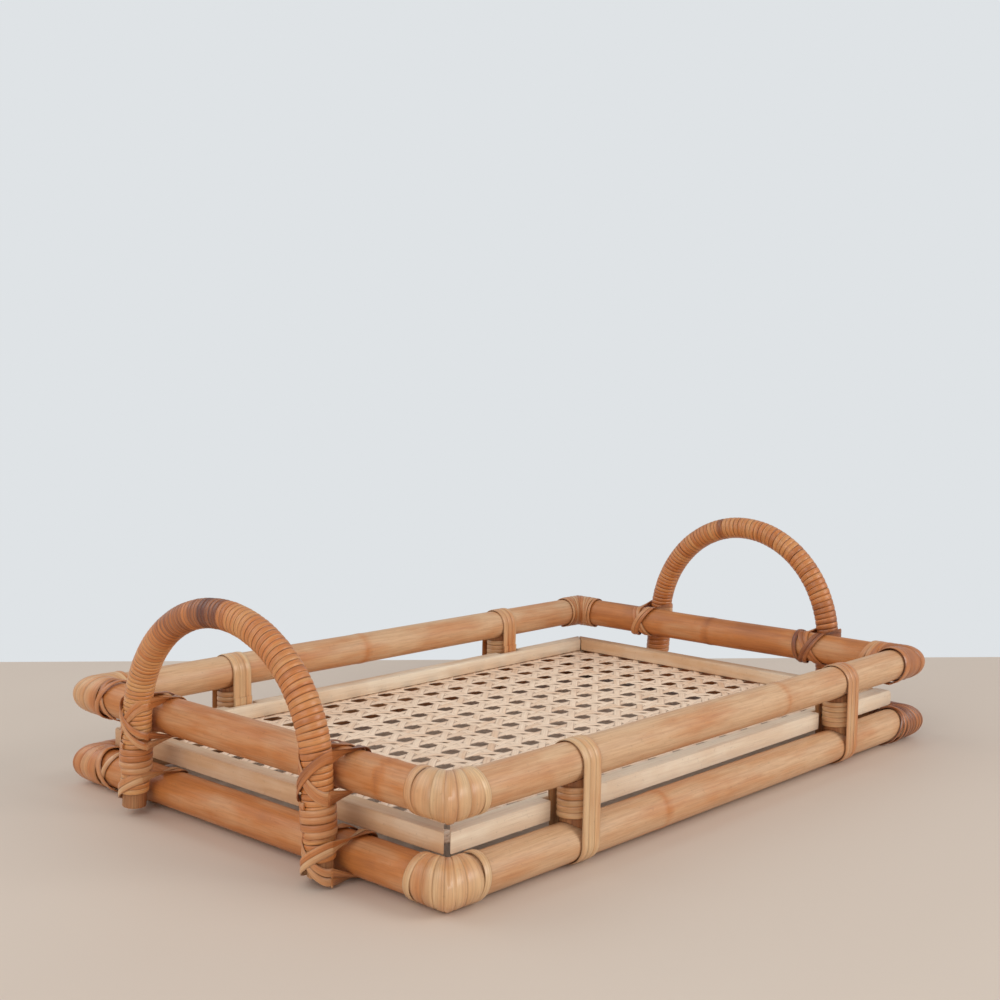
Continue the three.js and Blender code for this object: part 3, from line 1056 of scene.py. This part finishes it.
draw_batten("left", left_outline, False, 0.5)
draw_batten("right", right_outline, False, 0.42)


# ---- woven cane ----

PITCH_X = 23.4 * MM
PITCH_Y = 18.1 * MM
HOLE_ROW = 115 * MM  # a row of holes, and the rest follow from it
CROSSING_ROW = HOLE_ROW - PITCH_Y / 2
UPRIGHT = dict(apart=3.25 * MM, half=2.8 * MM)
CROSSWISE = dict(apart=2.8 * MM, half=2.45 * MM)
DIAGONAL_HALF = 2.2 * MM
CANE_THICK = 0.7 * MM
PAIR_WAVE = 0.42 * MM
DIAGONAL_WAVE = 0.7 * MM
CANE_MIDDLE = 21.4 * MM
CANE_STEPS = 10  # in each pitch of the weave
CANE_SEEDS = (1, 60)
EDGE_INSET = 1.7 * MM
EDGE_UNEVEN = 0.8  # millimetres
SHORTEST = 4 * MM
COLUMNS = 8  # pairs of uprights each side of the middle
ROWS = range(-1, 13)
MIDDLE_ROW = 7
MOST_LINES = 15


def panel_ends(point, heading):
    """How far a strand runs each way from a point before it meets the panel's edge."""
    reach = []
    for sign in (-1, 1):
        limits = []
        for axis in (0, 1):
            step = heading[axis] * sign
            if abs(step) > 1e-6:
                edge = (PANEL_HIGH if step > 0 else PANEL_LOW)[axis] - math.copysign(EDGE_INSET, step)
                limits.append((edge - point[axis]) / step)
        reach.append(sign * min(limits))
    return reach


def trimmed(point, heading, ends):
    """Draws an end back where it would run into a post's strap."""
    ends = list(ends)
    for index in (0, 1):
        tip = point + heading * ends[index]
        posts = front_posts if tip.y < 0 else back_posts
        beside = any(abs(tip.x - x) < NOTCH_HALF + 2 * MM for x in posts)
        if beside and abs(tip.y) > NOTCH_Y and abs(heading.y) > 0.1:
            ends[index] -= math.copysign((abs(tip.y) - NOTCH_Y) / abs(heading.y), ends[index])
    return ends


def draw_cane_strand(bm, point, heading, half, wave, dice, pitch):
    """A strand through a point of the panel. wave(x, y) is how far it rises over the others."""
    seed = dice.uniform(*CANE_SEEDS)
    start, end = trimmed(point, heading, panel_ends(point, heading))
    start += dice.uniform(0, EDGE_UNEVEN) * MM
    end -= dice.uniform(0, EDGE_UNEVEN) * MM
    if end - start < SHORTEST:
        return
    beside = Vector((-heading.y, heading.x))
    wide = half * dice.uniform(0.93, 1.05)
    slip = dice.uniform(-0.18, 0.18) * MM
    tone = dice.uniform(-0.04, 0.2)

    def place(along, turn):
        across, height = CANE_SECTION[turn]
        travel = start + (end - start) * along
        wander = slip + 0.3 * MM * drift(travel, seed, 30 * MM)
        axis = point + heading * travel
        flat = axis + beside * (across * wide + wander)
        z = CANE_MIDDLE + wave(axis.x, axis.y) + CANE_THICK * (height - 0.5)
        fibre = Vector((travel + seed, across, seed))
        return Vector((flat.x, flat.y, z)), fibre, tone + 0.1 * drift(travel, seed, 30 * MM)

    rolled(bm, max(4, round((end - start) / pitch * CANE_STEPS)), len(CANE_SECTION), place)


def pair_wave(offset, apart, sign):
    """Up and down where a strand crosses the two strands of a pair, at offset from its middle."""
    swing = offset / (4 * apart)
    return sign * PAIR_WAVE * math.sin(TAU * swing) if abs(swing) < 0.5 else 0


def nearest(value, pitch, start):
    return value - start - pitch * round((value - start) / pitch)


def draw_cane():
    bm = started()
    dice = random.Random("cane")

    def over_crosswise(hand):
        return lambda x, y: pair_wave(nearest(y, PITCH_Y, CROSSING_ROW), CROSSWISE["apart"], -hand)

    def over_upright(hand):
        return lambda x, y: pair_wave(nearest(x, PITCH_X, 0), UPRIGHT["apart"], hand)

    def over_pairs(slope):
        return lambda x, y: -slope * DIAGONAL_WAVE * math.cos(TAU * x / PITCH_X)

    for column in range(-COLUMNS, COLUMNS + 1):
        for hand in (-1, 1):
            point = Vector((column * PITCH_X + hand * UPRIGHT["apart"], 0))
            heading = Vector((0, 1))
            draw_cane_strand(bm, point, heading, UPRIGHT["half"], over_crosswise(hand), dice, PITCH_Y)
    for row in ROWS:
        for hand in (-1, 1):
            point = Vector((0, CROSSING_ROW - row * PITCH_Y + hand * CROSSWISE["apart"]))
            heading = Vector((1, 0))
            if abs(point.y) <= NOTCH_Y - CROSSWISE["half"]:
                draw_cane_strand(bm, point, heading, CROSSWISE["half"], over_upright(hand), dice, PITCH_X)
    for slope in (-1, 1):
        heading = Vector((PITCH_X, slope * PITCH_Y)).normalized()
        for line in range(-MOST_LINES, MOST_LINES + 1):
            # Each line crosses the upright pairs level with a row of holes, and the others between rows.
            column = min(max(line, -COLUMNS), COLUMNS)
            row = MIDDLE_ROW - slope * (column - line)
            point = Vector((column * PITCH_X, HOLE_ROW - row * PITCH_Y))
            if PANEL_LOW.y + 2 * MM < point.y < PANEL_HIGH.y - 2 * MM:
                draw_cane_strand(bm, point, heading, DIAGONAL_HALF, over_pairs(slope), dice, PITCH_X)
    finished(bm, "cane_panel_weave", ["cane_panel"], CANE_STRIP)


draw_cane()

# ---- nails ----

for name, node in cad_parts.items():
    if "nail" in name:
        for finish in node.material_slots:
            finish.material = NAIL_STEEL

# ---- stage ----

TABLE_EDGE = Vector((207.1, 211.6, 0)) * MM
TABLE_ALONG = Vector((0.7515, -0.6598, 0))
TABLE_SIZE = Vector((5, 3, 0.03))
TRAY_MIDDLE = (0, 0, 0.03)


def table_finish():
    material, tree = bare_material("pale_table")
    place = put(tree, "ShaderNodeTexCoord").outputs["Object"]
    patch = effect(tree, GRAIN, {"Fibre": place, "Along": 1.2, "Across": 24})["Patch"]
    colour = mixed(tree, maths(tree, "MULTIPLY", patch, 0.5), linear(219, 203, 188), linear(210, 192, 177))
    add_surface(tree, {"Base Color": colour, "Roughness": 0.6})
    return material


def draw_table():
    turn = Matrix.Rotation(math.atan2(TABLE_ALONG.y, TABLE_ALONG.x), 3, "Z")
    bm = bmesh.new()
    bmesh.ops.create_cube(bm, size=1)
    bmesh.ops.scale(bm, vec=TABLE_SIZE, verts=bm.verts)
    bmesh.ops.translate(bm, vec=(0, -TABLE_SIZE.y / 2, -TABLE_SIZE.z / 2), verts=bm.verts)
    bmesh.ops.rotate(bm, matrix=turn, verts=bm.verts)
    bmesh.ops.translate(bm, vec=TABLE_EDGE, verts=bm.verts)
    mesh = bpy.data.meshes.new("table_top")
    bm.to_mesh(mesh)
    bm.free()
    mesh.materials.append(table_finish())
    table = bpy.data.objects.new("table_top", mesh)
    bpy.context.scene.collection.objects.link(table)


draw_table()

ROOM = linear(223, 227, 230)
ROOM_LIGHT = 0.66  # how strongly the room lights the tray, beside how bright it looks
world = bpy.data.worlds.new("pale_room")
world.use_nodes = True
room = world.node_tree
room.nodes.clear()
seen = put(room, "ShaderNodeBackground", {"Color": ROOM, "Strength": 1.0})
lighting = put(room, "ShaderNodeBackground", {"Color": ROOM, "Strength": ROOM_LIGHT})
looked_at = put(room, "ShaderNodeLightPath").outputs["Is Camera Ray"]
backdrop = put(room, "ShaderNodeMixShader", {0: looked_at, 1: lighting.outputs[0], 2: seen.outputs[0]})
put(room, "ShaderNodeOutputWorld", {"Surface": backdrop.outputs[0]})
bpy.context.scene.world = world
bpy.context.scene.view_settings.view_transform = "Standard"


def soft_light(name, place, target, size, power, colour):
    light = bpy.data.lights.new(name, "AREA")
    light.shape = "DISK"
    light.size = size
    light.energy = power
    light.color = colour
    lamp = bpy.data.objects.new(name, light)
    lamp.location = place
    lamp.rotation_euler = (Vector(target) - Vector(place)).to_track_quat("-Z", "Y").to_euler()
    bpy.context.scene.collection.objects.link(lamp)


soft_light("window", (0.7, -1.7, 1.0), TRAY_MIDDLE, 1.2, 17.5, (1, 0.98, 0.95))
soft_light("reflector", (-1.7, -0.35, 0.8), TRAY_MIDDLE, 1.6, 10.5, (1, 0.97, 0.93))
soft_light("far_window", (-0.9, 1.7, 1.6), (-0.3, 0.7, 0), 2, 12, (1, 0.99, 0.97))

# ---- camera ----

EYE = Vector((-643.35, -549.96, 232.34)) * MM
YAW = math.radians(48.032)
DIP = math.radians(5.115)
ROLL = math.radians(1.0745)
forward = Vector((math.sin(YAW) * math.cos(DIP), math.cos(YAW) * math.cos(DIP), -math.sin(DIP)))
level = Vector((math.cos(YAW), -math.sin(YAW), 0))
above = level.cross(forward)
sideways = level * math.cos(ROLL) + above * math.sin(ROLL)
upwards = above * math.cos(ROLL) - level * math.sin(ROLL)

camera = bpy.data.objects.new("camera", bpy.data.cameras.new("camera"))
camera.data.sensor_width = 36
camera.data.lens = 51.27
camera.data.clip_start = 0.01
camera.matrix_world = Matrix.Translation(EYE) @ Matrix((sideways, upwards, -forward)).transposed().to_4x4()
bpy.context.scene.collection.objects.link(camera)
bpy.context.scene.camera = camera
